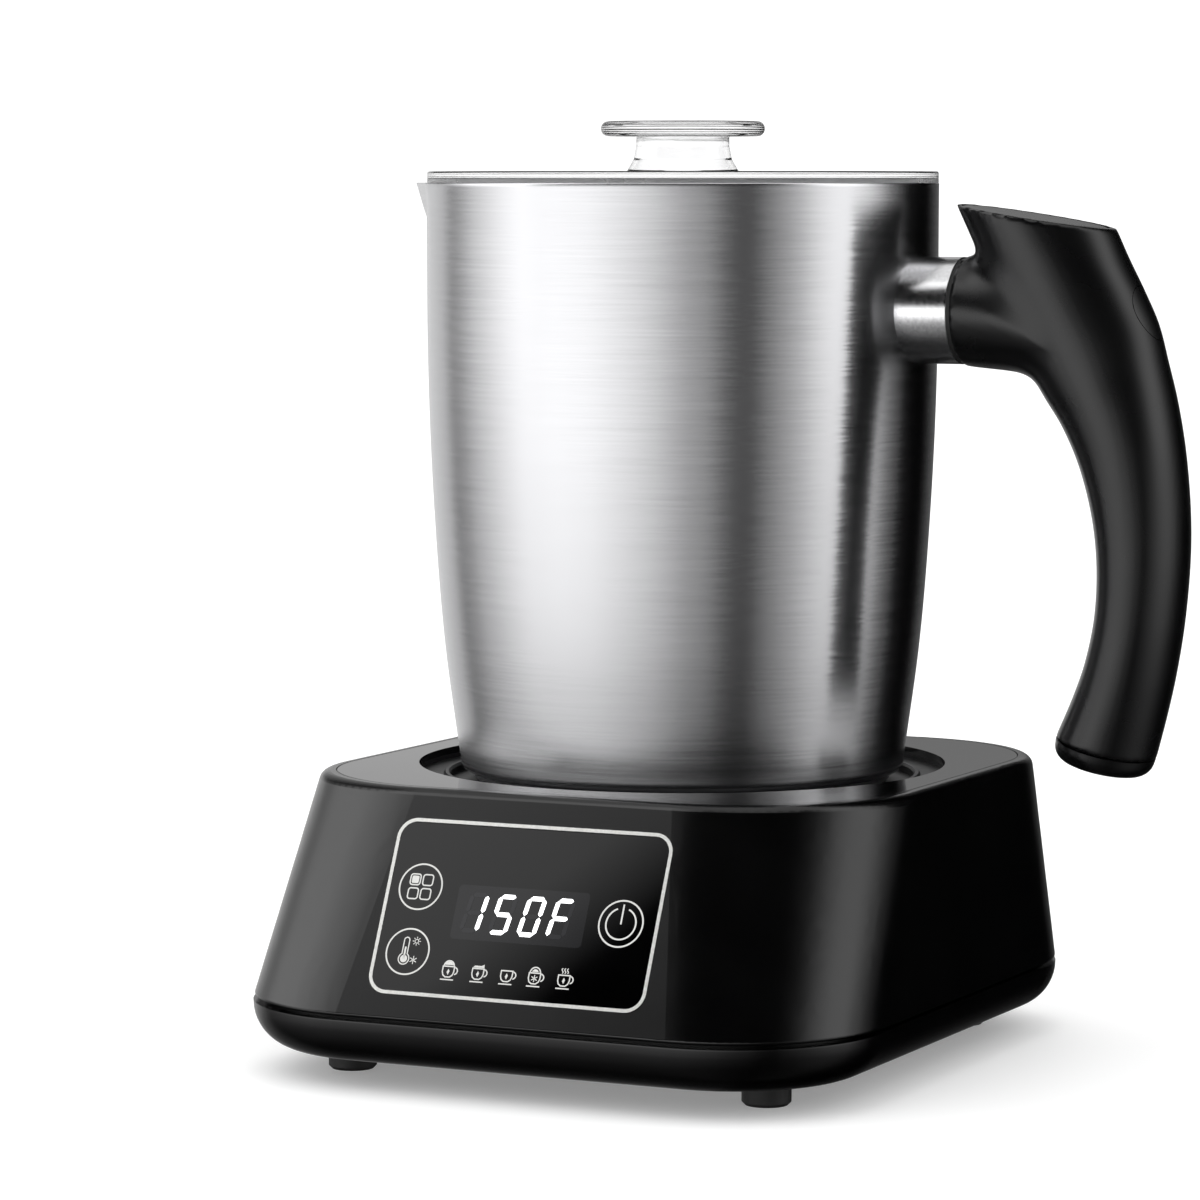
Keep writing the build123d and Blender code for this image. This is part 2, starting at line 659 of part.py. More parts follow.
def handle_end_cap():
    x, z, tilt, deep, wide = GRIP[-1]
    cap = extrude(section(x, z, tilt, deep, wide), -END_CAP_DEPTH, taper=6)
    return fillet(cap.faces().sort_by(Axis.Z)[0].edges(), 3.4)


def handle_screw():
    bolt = rod_x(2.0, 55.8, 95) + rod_x(3.7, 95, 98.4)
    socket = Plane(origin=(98.5, 0, ARM_Z), x_dir=(0, 1, 0), z_dir=(1, 0, 0))
    return bolt - extrude(socket * RegularPolygon(1.7, 6), -2.2)


def handle_screw_cap():
    return grip_form() & rod_x(SCREW_CAP_R - 0.1, 99, 125)


# ---- lid ---------------------------------------------------------------------------------
def lid_disc():
    plate = disc(LID_R, LID_Z, LID_TOP)
    return fillet(plate.edges().sort_by(Axis.Z)[-1], 0.5)


def lid_seal():
    ring = lathe(
        (52.4, LID_Z), (LID_R, LID_Z), (LID_R, RIM_Z), (53.6, RIM_Z),
        (53.6, RIM_Z - 3.2), (53.0, RIM_Z - 3.8), (52.4, RIM_Z - 3.2),
    )
    return ring


def lid_knob():
    straight = KNOB_Z - 2.1
    neck = lathe(
        (NECK_FLARE_R, LID_TOP), (NECK_R + 0.55, LID_TOP + 2.6), (NECK_R, straight),
        (NECK_R, KNOB_Z), (NECK_R - NECK_WALL, KNOB_Z), (NECK_R - NECK_WALL, straight),
        (NECK_R + 0.55 - NECK_WALL, LID_TOP + 2.6), (NECK_FLARE_R - NECK_WALL, LID_TOP),
    )
    top = disc(KNOB_R, KNOB_Z, KNOB_Z + KNOB_DISC)
    top = fillet(top.edges(), KNOB_DISC / 2 - 0.05)
    return neck + top


# ---- whisk -------------------------------------------------------------------------------
def whisk_hub():
    hub = disc(HUB_R, HUB_Z, HUB_Z + 7) + disc(HUB_TUBE_R, HUB_Z + 7, POST_TOP + 5)
    hub = fillet(hub.edges().sort_by(Axis.Z)[-1], 1.5)
    hub -= disc(POST_R + RUNNING_FIT, HUB_Z - 1, POST_TOP + 1)
    for angle in MAGNET_ANGLES:
        hub -= disc(2.4, HUB_Z - 1, HUB_Z + 5, *polar(7.4, angle))
    return hub


def whisk_magnets():
    spots = [polar(7.4, a) for a in MAGNET_ANGLES]
    return group([disc(2.4, HUB_Z + 0.2, HUB_Z + 5, x, y) for x, y in spots])


def whisk_frame():
    """Ring on three arms with a sleeve that sits over the hub."""
    ring = Pos(0, 0, RING_Z) * Torus(WHISK_RING_R, WHISK_WIRE_R)
    frame = ring + tube(7.2, HUB_TUBE_R + 0.3, RING_Z - 4, RING_Z + 5)
    for angle in (90, 210, 330):
        arm = rod_x(WHISK_WIRE_R, 6.2, WHISK_RING_R, 0, RING_Z)
        frame += Rot(0, 0, angle) * arm
    return frame


def whisk_coil():
    """Hollow outer shape of the wire coil wound around the ring, open where an arm passes."""
    shell = Circle(COIL_R) - Circle(COIL_R - 0.9)
    arc = revolve(Plane.XZ * Pos(WHISK_RING_R, RING_Z) * shell, Axis.Z, 120 - 2 * ARM_GAP)
    return group([Rot(0, 0, angle + ARM_GAP) * arc for angle in (90, 210, 330)])


NODES = [
    base_housing, base_pan, top_plate, seat_dish, dish_screws, seat_gasket, rubber_feet,
    pan_screws, cord_gland, display_lens, display_board, display_module, touch_springs,
    display_screws, motor_can, motor_bracket, bracket_screws, motor_shaft, magnet_rotor,
    drive_magnets, coil_former, former_screws, induction_coil, ferrite_bars, sensor_plunger,
    sensor_spring, power_board, board_screws, heatsink, power_transistors, capacitors,
    choke_coil, line_fuse, terminal_block, fan_frame, fan_screws, fan_rotor, jug_body,
    jug_bottom_plate, whisk_post, handle_boss, handle_ferrule, ferrule_washer, handle_grip,
    thumb_pad, handle_end_cap, handle_screw, handle_screw_cap, lid_disc, lid_seal, lid_knob,
    whisk_hub, whisk_magnets, whisk_frame, whisk_coil,
]

os.makedirs("parts", exist_ok=True)
for make in NODES:
    export_step(make(), f"parts/{make.__name__}.step")
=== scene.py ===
import json
import math

import bmesh
import bpy
import numpy as np
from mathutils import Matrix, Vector


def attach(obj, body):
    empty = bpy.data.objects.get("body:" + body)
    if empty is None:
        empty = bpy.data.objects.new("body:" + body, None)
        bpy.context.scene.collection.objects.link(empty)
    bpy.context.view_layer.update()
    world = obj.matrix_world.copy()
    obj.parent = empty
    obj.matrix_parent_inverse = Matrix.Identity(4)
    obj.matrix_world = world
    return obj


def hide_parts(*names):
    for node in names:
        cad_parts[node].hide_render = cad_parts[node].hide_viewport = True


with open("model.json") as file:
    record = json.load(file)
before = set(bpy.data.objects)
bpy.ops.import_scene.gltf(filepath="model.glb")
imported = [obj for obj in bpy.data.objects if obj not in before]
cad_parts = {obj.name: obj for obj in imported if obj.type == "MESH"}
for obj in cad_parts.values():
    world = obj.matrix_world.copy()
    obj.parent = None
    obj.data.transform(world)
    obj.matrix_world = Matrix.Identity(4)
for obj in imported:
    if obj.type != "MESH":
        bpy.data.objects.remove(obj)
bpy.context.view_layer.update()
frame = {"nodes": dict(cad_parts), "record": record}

MM = 0.001

# ---- camera ------------------------------------------------------------------------------
CAMERA_PLACE = (0.4468, -0.9651, 0.1870)
CAMERA_AZIMUTH = 25.8          # degrees to the right of the front
CAMERA_PITCH = 4.892           # degrees down
CAMERA_LENS = 147.9
SENSOR_WIDTH = 36.0

# ---- the part's own dimensions, in mm ----------------------------------------------------
PANEL_CENTRE = (0.0, -78.63, 37.6)
PANEL_UP = (0.0, 0.4200, 0.9076)
PANEL_OUT = (0.0, -0.9076, 0.4200)
RIM_Z = 186.0
JUG_FLOOR_Z = 59.4
JUG_WALL = 0.8
WALL_PROFILE = [(48.0, 62.0), (51.35, 87.4), (53.65, 117.6), (54.75, 145.0), (55.0, 186.0)]
JUG_BEND = 2.3
# spout: height, reach from the axis, half width where it leaves the wall
SPOUT = [(157.0, 52.4, 4.0), (169.0, 57.6, 8.5), (179.0, 61.8, 13.0), (186.0, 64.0, 17.0)]
ARM_Z = 159.3
FERRULE_R = 11.25
FERRULE_END = 65.3
ARM_R = 11.55
# handle sections from the thumb end down: centre x, centre z, tilt, half depth, half width
GRIP = [
    (81.0, 179.1, 8.8, 17.3, 12.8),
    (84.6, 171.5, 4.0, 16.4, 13.1),
    (88.6, 162.5, -4.0, 15.9, 13.3),
    (92.8, 154.0, -11.0, 15.0, 13.4),
    (96.7, 145.5, -16.5, 13.4, 13.4),
    (99.8, 138.4, -14.0, 12.1, 13.4),
    (103.0, 127.5, -8.0, 10.7, 13.3),
    (105.1, 112.6, 0.0, 9.5, 13.2),
    (104.7, 97.3, 6.8, 8.9, 13.1),
    (102.7, 85.6, 11.3, 9.1, 13.1),
    (100.5, 77.8, 13.6, 9.6, 13.1),
    (97.4, 68.8, 14.0, 10.4, 13.1),
]
ELBOW = [
    (66.0, ARM_Z, 90.0, ARM_R, ARM_R),
    (76.0, 158.0, 75.0, 12.1, 12.2),
    (86.0, 153.6, 52.0, 13.2, 12.8),
    (93.2, 148.0, 26.0, 12.6, 12.9),
    (98.4, 141.0, 4.0, 11.0, 12.6),
]
END_CAP_DEPTH = 4.2
SCREW_CAP_R = 5.7
THUMB_PAD = (15.9, 11.3, 1.8)  # half length, half width, thickness
LID_R = 54.9
LID_Z = 186.9
LID_TOP = 188.45
KNOB_Z = 195.95
KNOB_DISC = 3.2
KNOB_R = 17.6
NECK_R = 10.0
NECK_FLARE_R = 12.0
NECK_WALL = 1.1
WHISK_RING_R = 20.0
RING_Z = 75.0


# ---- meshes ------------------------------------------------------------------------------
def mesh_object(name, verts, faces, sharp=40.0):
    """A smooth-shaded object from points in mm, with edges sharp above an angle."""
    mesh = bpy.data.meshes.new(name)
    mesh.from_pydata([tuple(c * MM for c in v) for v in verts], [], faces)
    work = bmesh.new()
    work.from_mesh(mesh)
    bmesh.ops.remove_doubles(work, verts=work.verts, dist=1e-7)
    bmesh.ops.recalc_face_normals(work, faces=work.faces)
    work.to_mesh(mesh)
    work.free()
    mesh.shade_smooth()
    mesh.set_sharp_from_angle(angle=math.radians(sharp))
    obj = bpy.data.objects.new(name, mesh)
    bpy.context.scene.collection.objects.link(obj)
    return obj


def piece(obj, body, slot, material, *nodes):
    """Gives an object its material and body, and hides the CAD nodes it stands for; the slot argument is not
    used.
    """
    obj.data.materials.clear()
    obj.data.materials.append(material)
    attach(obj, body)
    if nodes:
        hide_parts(*nodes)
    return obj


def grid_faces(rows, columns, skip=()):
    """Quads between consecutive rings of points, but none after a skipped ring."""
    faces = []
    for i in range(rows - 1):
        if i in skip:
            continue
        for j in range(columns):
            k = (j + 1) % columns
            faces.append((i * columns + j, i * columns + k, (i + 1) * columns + k, (i + 1) * columns + j))
    return faces


def rounded(points, steps=6):
    """A profile of (radius, height, corner radius) points with arcs at its corners."""
    out = []
    count = len(points)
    for i, (r, z, fillet) in enumerate(points):
        here = Vector((r, z))
        if fillet <= 0.0 or i in (0, count - 1):
            out.append((r, z))
            continue
        before = (Vector(points[i - 1][:2]) - here).normalized()
        after = (Vector(points[(i + 1) % count][:2]) - here).normalized()
        half = before.angle(after) / 2
        reach = fillet / math.tan(half)
        start, end = here + before * reach, here + after * reach
        centre = here + (before + after).normalized() * (fillet / math.sin(half))
        for k in range(steps + 1):
            spoke = (start - centre).lerp(end - centre, k / steps).normalized()
            out.append(tuple(centre + spoke * fillet))
    return out


def lathe(name, profile, segments=192, axis="Z", offset=(0.0, 0.0, 0.0), closed=True):
    """Turns a (radius, height) profile about the Z axis, or about X."""
    verts = []
    rows = list(profile) + ([profile[0]] if closed else [])
    for r, h in rows:
        for j in range(segments):
            a = 2 * math.pi * j / segments
            if axis == "Z":
                point = (r * math.cos(a), r * math.sin(a), h)
            else:
                point = (h, r * math.cos(a), r * math.sin(a))
            verts.append(tuple(p + o for p, o in zip(point, offset)))
    on_axis = [i for i in range(len(rows) - 1) if rows[i][0] == 0 and rows[i + 1][0] == 0]
    return mesh_object(name, verts, grid_faces(len(rows), segments, on_axis))


def curve_through(knots, values, at):
    """Smooth interpolation of values (rows) given at knots, by cubic Hermite spans."""
    knots, values = np.asarray(knots, float), np.asarray(values, float)
    span = np.diff(knots)
    slope = np.diff(values, axis=0) / span[:, None]
    tangent = np.vstack([slope[:1], (slope[:-1] + slope[1:]) / 2, slope[-1:]])
    out = []
    for t in np.atleast_1d(at):
        i = int(np.clip(np.searchsorted(knots, t) - 1, 0, len(span) - 1))
        u = (t - knots[i]) / span[i]
        out.append(
            values[i] * (1 + 2 * u) * (1 - u) ** 2
            + values[i + 1] * u * u * (3 - 2 * u)
            + span[i] * (tangent[i] * u * (1 - u) ** 2 + tangent[i + 1] * u * u * (u - 1))
        )
    return np.array(out)


# ---- materials ---------------------------------------------------------------------------
def material(name, colour, roughness, **values):
    """A Principled material whose uniform values sit on the shader's own sockets."""
    mat = bpy.data.materials.new(name)
    mat.use_nodes = True
    shader = mat.node_tree.nodes["Principled BSDF"]
    shader.inputs["Base Color"].default_value = (*colour, 1.0)
    shader.inputs["Roughness"].default_value = roughness
    for key, value in values.items():
        shader.inputs[key.replace("_", " ")].default_value = value
    return mat


def node(mat, kind, **values):
    """Adds a shader node and sets its inputs by name."""
    new = mat.node_tree.nodes.new(kind)
    for key, value in values.items():
        new.inputs[key.replace("_", " ")].default_value = value
    return new


def noise_of(mat, size, stretch=(1.0, 1.0, 1.0), detail=4.0):
    """Noise whose features are about this size in metres, stretched along the axes."""
    coords = node(mat, "ShaderNodeTexCoord")
    mapping = node(mat, "ShaderNodeMapping", Scale=[1.0 / (size * s) for s in stretch])
    noise = node(mat, "ShaderNodeTexNoise", Scale=1.0, Detail=detail)
    mat.node_tree.links.new(coords.outputs["Object"], mapping.inputs["Vector"])
    mat.node_tree.links.new(mapping.outputs["Vector"], noise.inputs["Vector"])
    return noise.outputs["Fac"]


def drive_colour(mat, noise, dark, light, low=0.35, high=0.65):
    """Runs the base colour between two tones."""
    ramp = node(mat, "ShaderNodeValToRGB")
    ramp.color_ramp.elements[0].position = low
    ramp.color_ramp.elements[0].color = (*dark, 1.0)
    ramp.color_ramp.elements[1].position = high
    ramp.color_ramp.elements[1].color = (*light, 1.0)
    shader = mat.node_tree.nodes["Principled BSDF"]
    mat.node_tree.links.new(noise, ramp.inputs["Fac"])
    mat.node_tree.links.new(ramp.outputs["Color"], shader.inputs["Base Color"])


def drive_roughness(mat, noise, low, high):
    """Runs the roughness between two values."""
    span = node(mat, "ShaderNodeMapRange", From_Min=0.3, From_Max=0.7, To_Min=low, To_Max=high)
    shader = mat.node_tree.nodes["Principled BSDF"]
    mat.node_tree.links.new(noise, span.inputs["Value"])
    mat.node_tree.links.new(span.outputs["Result"], shader.inputs["Roughness"])


def drive_bump(mat, noise, height, strength=1.0):
    """Raises the surface by a real height in metres."""
    bump = node(mat, "ShaderNodeBump", Strength=strength, Distance=height)
    shader = mat.node_tree.nodes["Principled BSDF"]
    mat.node_tree.links.new(noise, bump.inputs["Height"])
    mat.node_tree.links.new(bump.outputs["Normal"], shader.inputs["Normal"])
    return bump


def scaled(colour, factor):
    return tuple(min(c * factor, 1.0) for c in colour)


def moulded(name, colour, rough, spread=0.15, grain=0.0004, height=0.000003, **values):
    """Moulded plastic or rubber: fine grain, and slow changes of tone and gloss."""
    mat = material(name, colour, sum(rough) / 2, **values)
    slow = noise_of(mat, 0.018, detail=5.0)
    drive_colour(mat, slow, scaled(colour, 1 - spread), scaled(colour, 1 + spread))
    drive_roughness(mat, slow, *rough)
    if height:
        drive_bump(mat, noise_of(mat, grain, detail=2.0), height)
    return mat


def metal(name, colour, rough, stretch=(1.0, 1.0, 1.0), size=0.0006, height=0.0000008, **values):
    """Metal with a fine drawn or turned grain."""
    mat = material(name, colour, sum(rough) / 2, Metallic=1.0, **values)
    fine = noise_of(mat, size, stretch, detail=3.0)
    drive_colour(mat, fine, scaled(colour, 0.93), scaled(colour, 1.05))
    drive_roughness(mat, fine, *rough)
    if height:
        drive_bump(mat, fine, height)
    return mat


def brushed_jug():
    """Steel brushed round the jug: streaks a few cm long and a third of a mm high."""
    mat = material(
        "jug_brushed_steel", (0.70, 0.70, 0.715), 0.25, Metallic=1.0,
        Anisotropic=0.75, Anisotropic_Rotation=0.25,
    )
    tree = mat.node_tree
    shader = tree.nodes["Principled BSDF"]
    streaks = noise_of(mat, 0.0004, (75.0, 75.0, 1.0), detail=5.0)
    drive_colour(mat, streaks, (0.69, 0.69, 0.705), (0.71, 0.71, 0.725))
    drive_roughness(mat, streaks, 0.22, 0.27)
    tangent = node(mat, "ShaderNodeTangent")
    tangent.direction_type = "RADIAL"
    tangent.axis = "Z"
    tree.links.new(tangent.outputs["Tangent"], shader.inputs["Tangent"])
    # each streak leans a little to one side, which frays the upright edges of reflections
    lean = noise_of(mat, 0.00045, (40.0, 40.0, 1.0), detail=2.0)
    span = node(mat, "ShaderNodeMapRange", From_Min=0.3, From_Max=0.7, To_Min=-0.012, To_Max=0.012)
    tree.links.new(lean, span.inputs["Value"])
    geometry = node(mat, "ShaderNodeNewGeometry")
    side = node(mat, "ShaderNodeVectorMath")
    side.operation = "CROSS_PRODUCT"
    side.inputs[1].default_value = (0.0, 0.0, 1.0)
    tree.links.new(geometry.outputs["Normal"], side.inputs[0])
    offset = node(mat, "ShaderNodeVectorMath")
    offset.operation = "SCALE"
    tree.links.new(side.outputs["Vector"], offset.inputs[0])
    tree.links.new(span.outputs["Result"], offset.inputs["Scale"])
    leaned = node(mat, "ShaderNodeVectorMath")
    leaned.operation = "ADD"
    tree.links.new(geometry.outputs["Normal"], leaned.inputs[0])
    tree.links.new(offset.outputs["Vector"], leaned.inputs[1])
    unit = node(mat, "ShaderNodeVectorMath")
    unit.operation = "NORMALIZE"
    tree.links.new(leaned.outputs["Vector"], unit.inputs[0])
    tree.links.new(unit.outputs["Vector"], shader.inputs["Normal"])
    return mat


def clear_plastic(name, tint, rough=(0.02, 0.05)):
    """Clear moulded plastic with a faint variation of gloss."""
    mat = material(name, tint, 0.03, IOR=1.49, Transmission_Weight=1.0)
    slow = noise_of(mat, 0.012, detail=3.0)
    drive_roughness(mat, slow, *rough)
    drive_colour(mat, slow, scaled(tint, 0.97), scaled(tint, 1.02))
    return mat


SATIN = moulded("housing_satin_black", (0.0007, 0.0007, 0.0008), (0.17, 0.21), height=0.000001)
SLOTS = {
    "housing_black": SATIN,
    "plate_black": moulded("plate_gloss_black", (0.0005, 0.0005, 0.0006), (0.05, 0.08), height=0.0),
    "dish_black": moulded("dish_matte_black", (0.010, 0.010, 0.011), (0.36, 0.44)),
    "seal_black": moulded("silicone_black", (0.012, 0.012, 0.012), (0.50, 0.62)),
    "foot_rubber": moulded("foot_rubber", (0.010, 0.010, 0.010), (0.55, 0.70), height=0.000008),
    "zinc_screw": metal("zinc_plated", (0.60, 0.60, 0.61), (0.25, 0.40)),
    "lens_black": moulded("lens_gloss_black", (0.0004, 0.0004, 0.0005), (0.02, 0.035), height=0.0),
    "board_green": moulded("board_green", (0.015, 0.10, 0.045), (0.35, 0.5)),
    "display_grey": moulded("display_grey", (0.08, 0.08, 0.09), (0.4, 0.5)),
    "contact_copper": metal("contact_copper", (0.78, 0.47, 0.30), (0.25, 0.35)),
    "motor_steel": metal("motor_steel", (0.55, 0.55, 0.57), (0.28, 0.42)),
    "magnet_nickel": metal("magnet_nickel", (0.62, 0.61, 0.60), (0.12, 0.22)),
    "former_natural": moulded("former_natural", (0.62, 0.60, 0.54), (0.45, 0.6)),
    "coil_copper": metal("coil_copper", (0.70, 0.33, 0.16), (0.3, 0.45)),
    "ferrite_grey": moulded("ferrite_grey", (0.07, 0.07, 0.075), (0.5, 0.7)),
    "heatsink_alu": metal("heatsink_alu", (0.72, 0.72, 0.74), (0.3, 0.42)),
    "component_dark": moulded("component_dark", (0.025, 0.025, 0.028), (0.4, 0.55)),
    "component_blue": moulded("component_blue", (0.03, 0.08, 0.30), (0.25, 0.35)),
    "fuse_glass": clear_plastic("fuse_glass", (0.95, 0.97, 0.97)),
    "jug_steel": brushed_jug(),
    "disc_steel": metal("disc_steel", (0.50, 0.50, 0.52), (0.30, 0.42)),
    "ferrule_steel": metal("ferrule_polished", (0.74, 0.74, 0.75), (0.16, 0.22), height=0.0),
    "grip_black": moulded("grip_satin_black", (0.0016, 0.0016, 0.0018), (0.25, 0.29), height=0.000004),
    "lid_clear": clear_plastic("lid_clear", (0.955, 0.955, 0.957)),
    "seal_clear": clear_plastic("seal_clear", (0.90, 0.90, 0.905), (0.25, 0.35)),
    "whisk_plastic": moulded("whisk_plastic", (0.03, 0.03, 0.033), (0.35, 0.45)),
    "whisk_steel": metal("whisk_steel", (0.72, 0.72, 0.74), (0.12, 0.2), height=0.0),
}
for part in frame["record"]["subparts"]:
    frame["nodes"][part["node"]].material_slots[0].material = SLOTS[part["material_slot"]]


# ---- jug ---------------------------------------------------------------------------------
def wall_radius(z):
    heights = [z for _, z in WALL_PROFILE]
    radii = [[r] for r, _ in WALL_PROFILE]
    return float(curve_through(heights, radii, z)[0, 0])


def spout_bulge(z, angle, wall, inset):
    """How far the pouring lip stands out from the wall: two flat flanks with a rounded nose."""
    if z < SPOUT[0][0] - 6:
        return 0.0
    reach, half = curve_through([s[0] for s in SPOUT], [s[1:] for s in SPOUT], z)[0]
    off = abs(math.atan2(math.sin(angle - math.pi), math.cos(angle - math.pi)))
    soft = math.sqrt(off * off + 0.0016) - 0.04
    tip, width = reach - inset, max(1.9 * (half - inset), 2.0)
    flank_end = math.atan2(tip - 45.0, width)
    near = min(soft, flank_end)
    out = tip * width / (width * math.cos(near) + (tip - 45.0) * math.sin(near)) - wall
    fade = 1.0 - min(max((off - flank_end) / 0.16, 0.0), 1.0)
    return (out + math.sqrt(out * out + 0.8)) / 2 * fade * fade * (3 - 2 * fade)


def jug_row(z, inset, columns):
    """One ring of the jug's wall at a height."""
    wall = wall_radius(z) - inset
    ring = []
    for j in range(columns):
        a = 2 * math.pi * j / columns
        r = wall + spout_bulge(z, a, wall, inset)
        ring.append((r * math.cos(a), r * math.sin(a), z))
    return ring


def flat_row(r, z, columns):
    return [(r * math.cos(2 * math.pi * j / columns), r * math.sin(2 * math.pi * j / columns), z)
            for j in range(columns)]


def make_jug():
    columns = 360
    heights = list(np.arange(62.0, 150.0, 2.0)) + list(np.arange(150.0, RIM_Z - 0.3, 0.9))
    rows = [flat_row(r, JUG_FLOOR_Z, columns) for r in (0.0, 15.0, 30.0, 42.0)]
    bend = rounded([(42.0, JUG_FLOOR_Z, 0), (47.95, JUG_FLOOR_Z, JUG_BEND), (wall_radius(62.0), 62.0, 0)])
    rows += [flat_row(r, z, columns) for r, z in bend[1:-1]]
    rows += [jug_row(z, 0.0, columns) for z in heights]
    rim = [(0.0, RIM_Z - 0.25), (0.07, RIM_Z - 0.08), (0.25, RIM_Z), (0.55, RIM_Z),
           (0.73, RIM_Z - 0.08), (0.8, RIM_Z - 0.25)]
    rows += [[(x, y, top) for x, y, _ in jug_row(RIM_Z, inset, columns)] for inset, top in rim]
    rows += [jug_row(z, JUG_WALL, columns) for z in reversed(heights)]
    inside_floor = JUG_FLOOR_Z + JUG_WALL
    inner = rounded([
        (wall_radius(62.0) - JUG_WALL, 62.0, 0), (47.0, inside_floor, 1.5), (40.0, inside_floor, 0),
    ])
    rows += [flat_row(r, z, columns) for r, z in inner[1:]]
    rows += [flat_row(r, JUG_FLOOR_Z + JUG_WALL, columns) for r in (25.0, 0.0)]
    verts = [p for row in rows for p in row]
    jug = mesh_object("jug_shell", verts, grid_faces(len(rows), columns), sharp=60.0)
    return piece(jug, "jug", "jug_steel", SLOTS["jug_steel"], "jug_body")


make_jug()


# ---- handle ------------------------------------------------------------------------------
def loft_object(name, sections, rings=160, around=96):
    """A closed form through elliptical sections."""
    centres = np.array([(s[0], s[1]) for s in sections])
    steps = np.hypot(*np.diff(centres, axis=0).T)
    knots = np.concatenate([[0.0], np.cumsum(steps)])
    verts = []
    for x, z, tilt, deep, wide in curve_through(knots, sections, np.linspace(0, knots[-1], rings)):
        t = math.radians(tilt)
        for j in range(around):
            a = 2 * math.pi * j / around
            u, v = deep * math.cos(a), wide * math.sin(a)
            verts.append((x + u * math.cos(t), v, z - u * math.sin(t)))
    faces = grid_faces(rings, around)
    faces.append(tuple(range(around)))
    faces.append(tuple(range((rings - 1) * around, rings * around)))
    return mesh_object(name, verts, faces)


def apply_modifiers(obj):
    """Bakes an object's modifiers into its mesh."""
    graph = bpy.context.evaluated_depsgraph_get()
    graph.update()
    mesh = bpy.data.meshes.new_from_object(obj.evaluated_get(graph))
    obj.modifiers.clear()
    obj.data = mesh
    return obj


def combine(obj, other, operation):
    """Boolean of one object with another, which is then removed."""
    boolean = obj.modifiers.new("boolean", "BOOLEAN")
    boolean.operation = operation
    boolean.object = other
    boolean.solver = "EXACT"
    apply_modifiers(obj)
    bpy.data.objects.remove(other)
    return obj


def ellipse_prism(name, centre, tilt, long, wide, low, high, around=96, dome=0.0):
    """An elliptical slab across the handle, from low to high along its own normal."""
    t = math.radians(tilt)
    rows = [(low, 0.0), (low, 1.0), (high - 0.5, 1.0), (high - 0.15, 0.985), (high, 0.955)]
    rows += [(high + dome * (1 - k * k), k) for k in (0.8, 0.6, 0.4, 0.2, 0.0)]
    verts = []
    for lift, share in rows:
        for j in range(around):
            a = 2 * math.pi * j / around
            u, v = long * share * math.cos(a), wide * share * math.sin(a)
            x = centre[0] + u * math.cos(t) + lift * math.sin(t)
            z = centre[1] - u * math.sin(t) + lift * math.cos(t)
            verts.append((x, v, z))
    return mesh_object(name, verts, grid_faces(len(rows), around))


def fill_hollows(obj, centre, reach, rounds):
    """Rounds out the creases near a point, and leaves what bulges as it is."""
    mesh = obj.data
    count = len(mesh.vertices)
    places = np.empty(count * 3)
    mesh.vertices.foreach_get("co", places)
    places = places.reshape(-1, 3)
    edges = np.empty(len(mesh.edges) * 2, dtype=np.int32)
    mesh.edges.foreach_get("vertices", edges)
    first, second = edges.reshape(-1, 2).T
    degree = np.bincount(first, minlength=count) + np.bincount(second, minlength=count)
    away = np.hypot(places[:, 0] / MM - centre[0], places[:, 2] / MM - centre[1])
    weight = 0.9 * np.exp(-((away / reach) ** 4))
    normals = np.empty(count * 3)
    for turn in range(rounds):
        if turn % 15 == 0:
            mesh.vertices.foreach_set("co", places.ravel())
            mesh.update()
            mesh.vertices.foreach_get("normal", normals)
        out = normals.reshape(-1, 3)
        mean = np.stack([
            np.bincount(first, places[second, k], count) + np.bincount(second, places[first, k], count)
            for k in range(3)
        ], axis=1) / degree[:, None]
        step = np.maximum(((mean - places) * out).sum(axis=1), 0.0) * weight
        places = places + out * step[:, None]
    mesh.vertices.foreach_set("co", places.ravel())
    mesh.update()


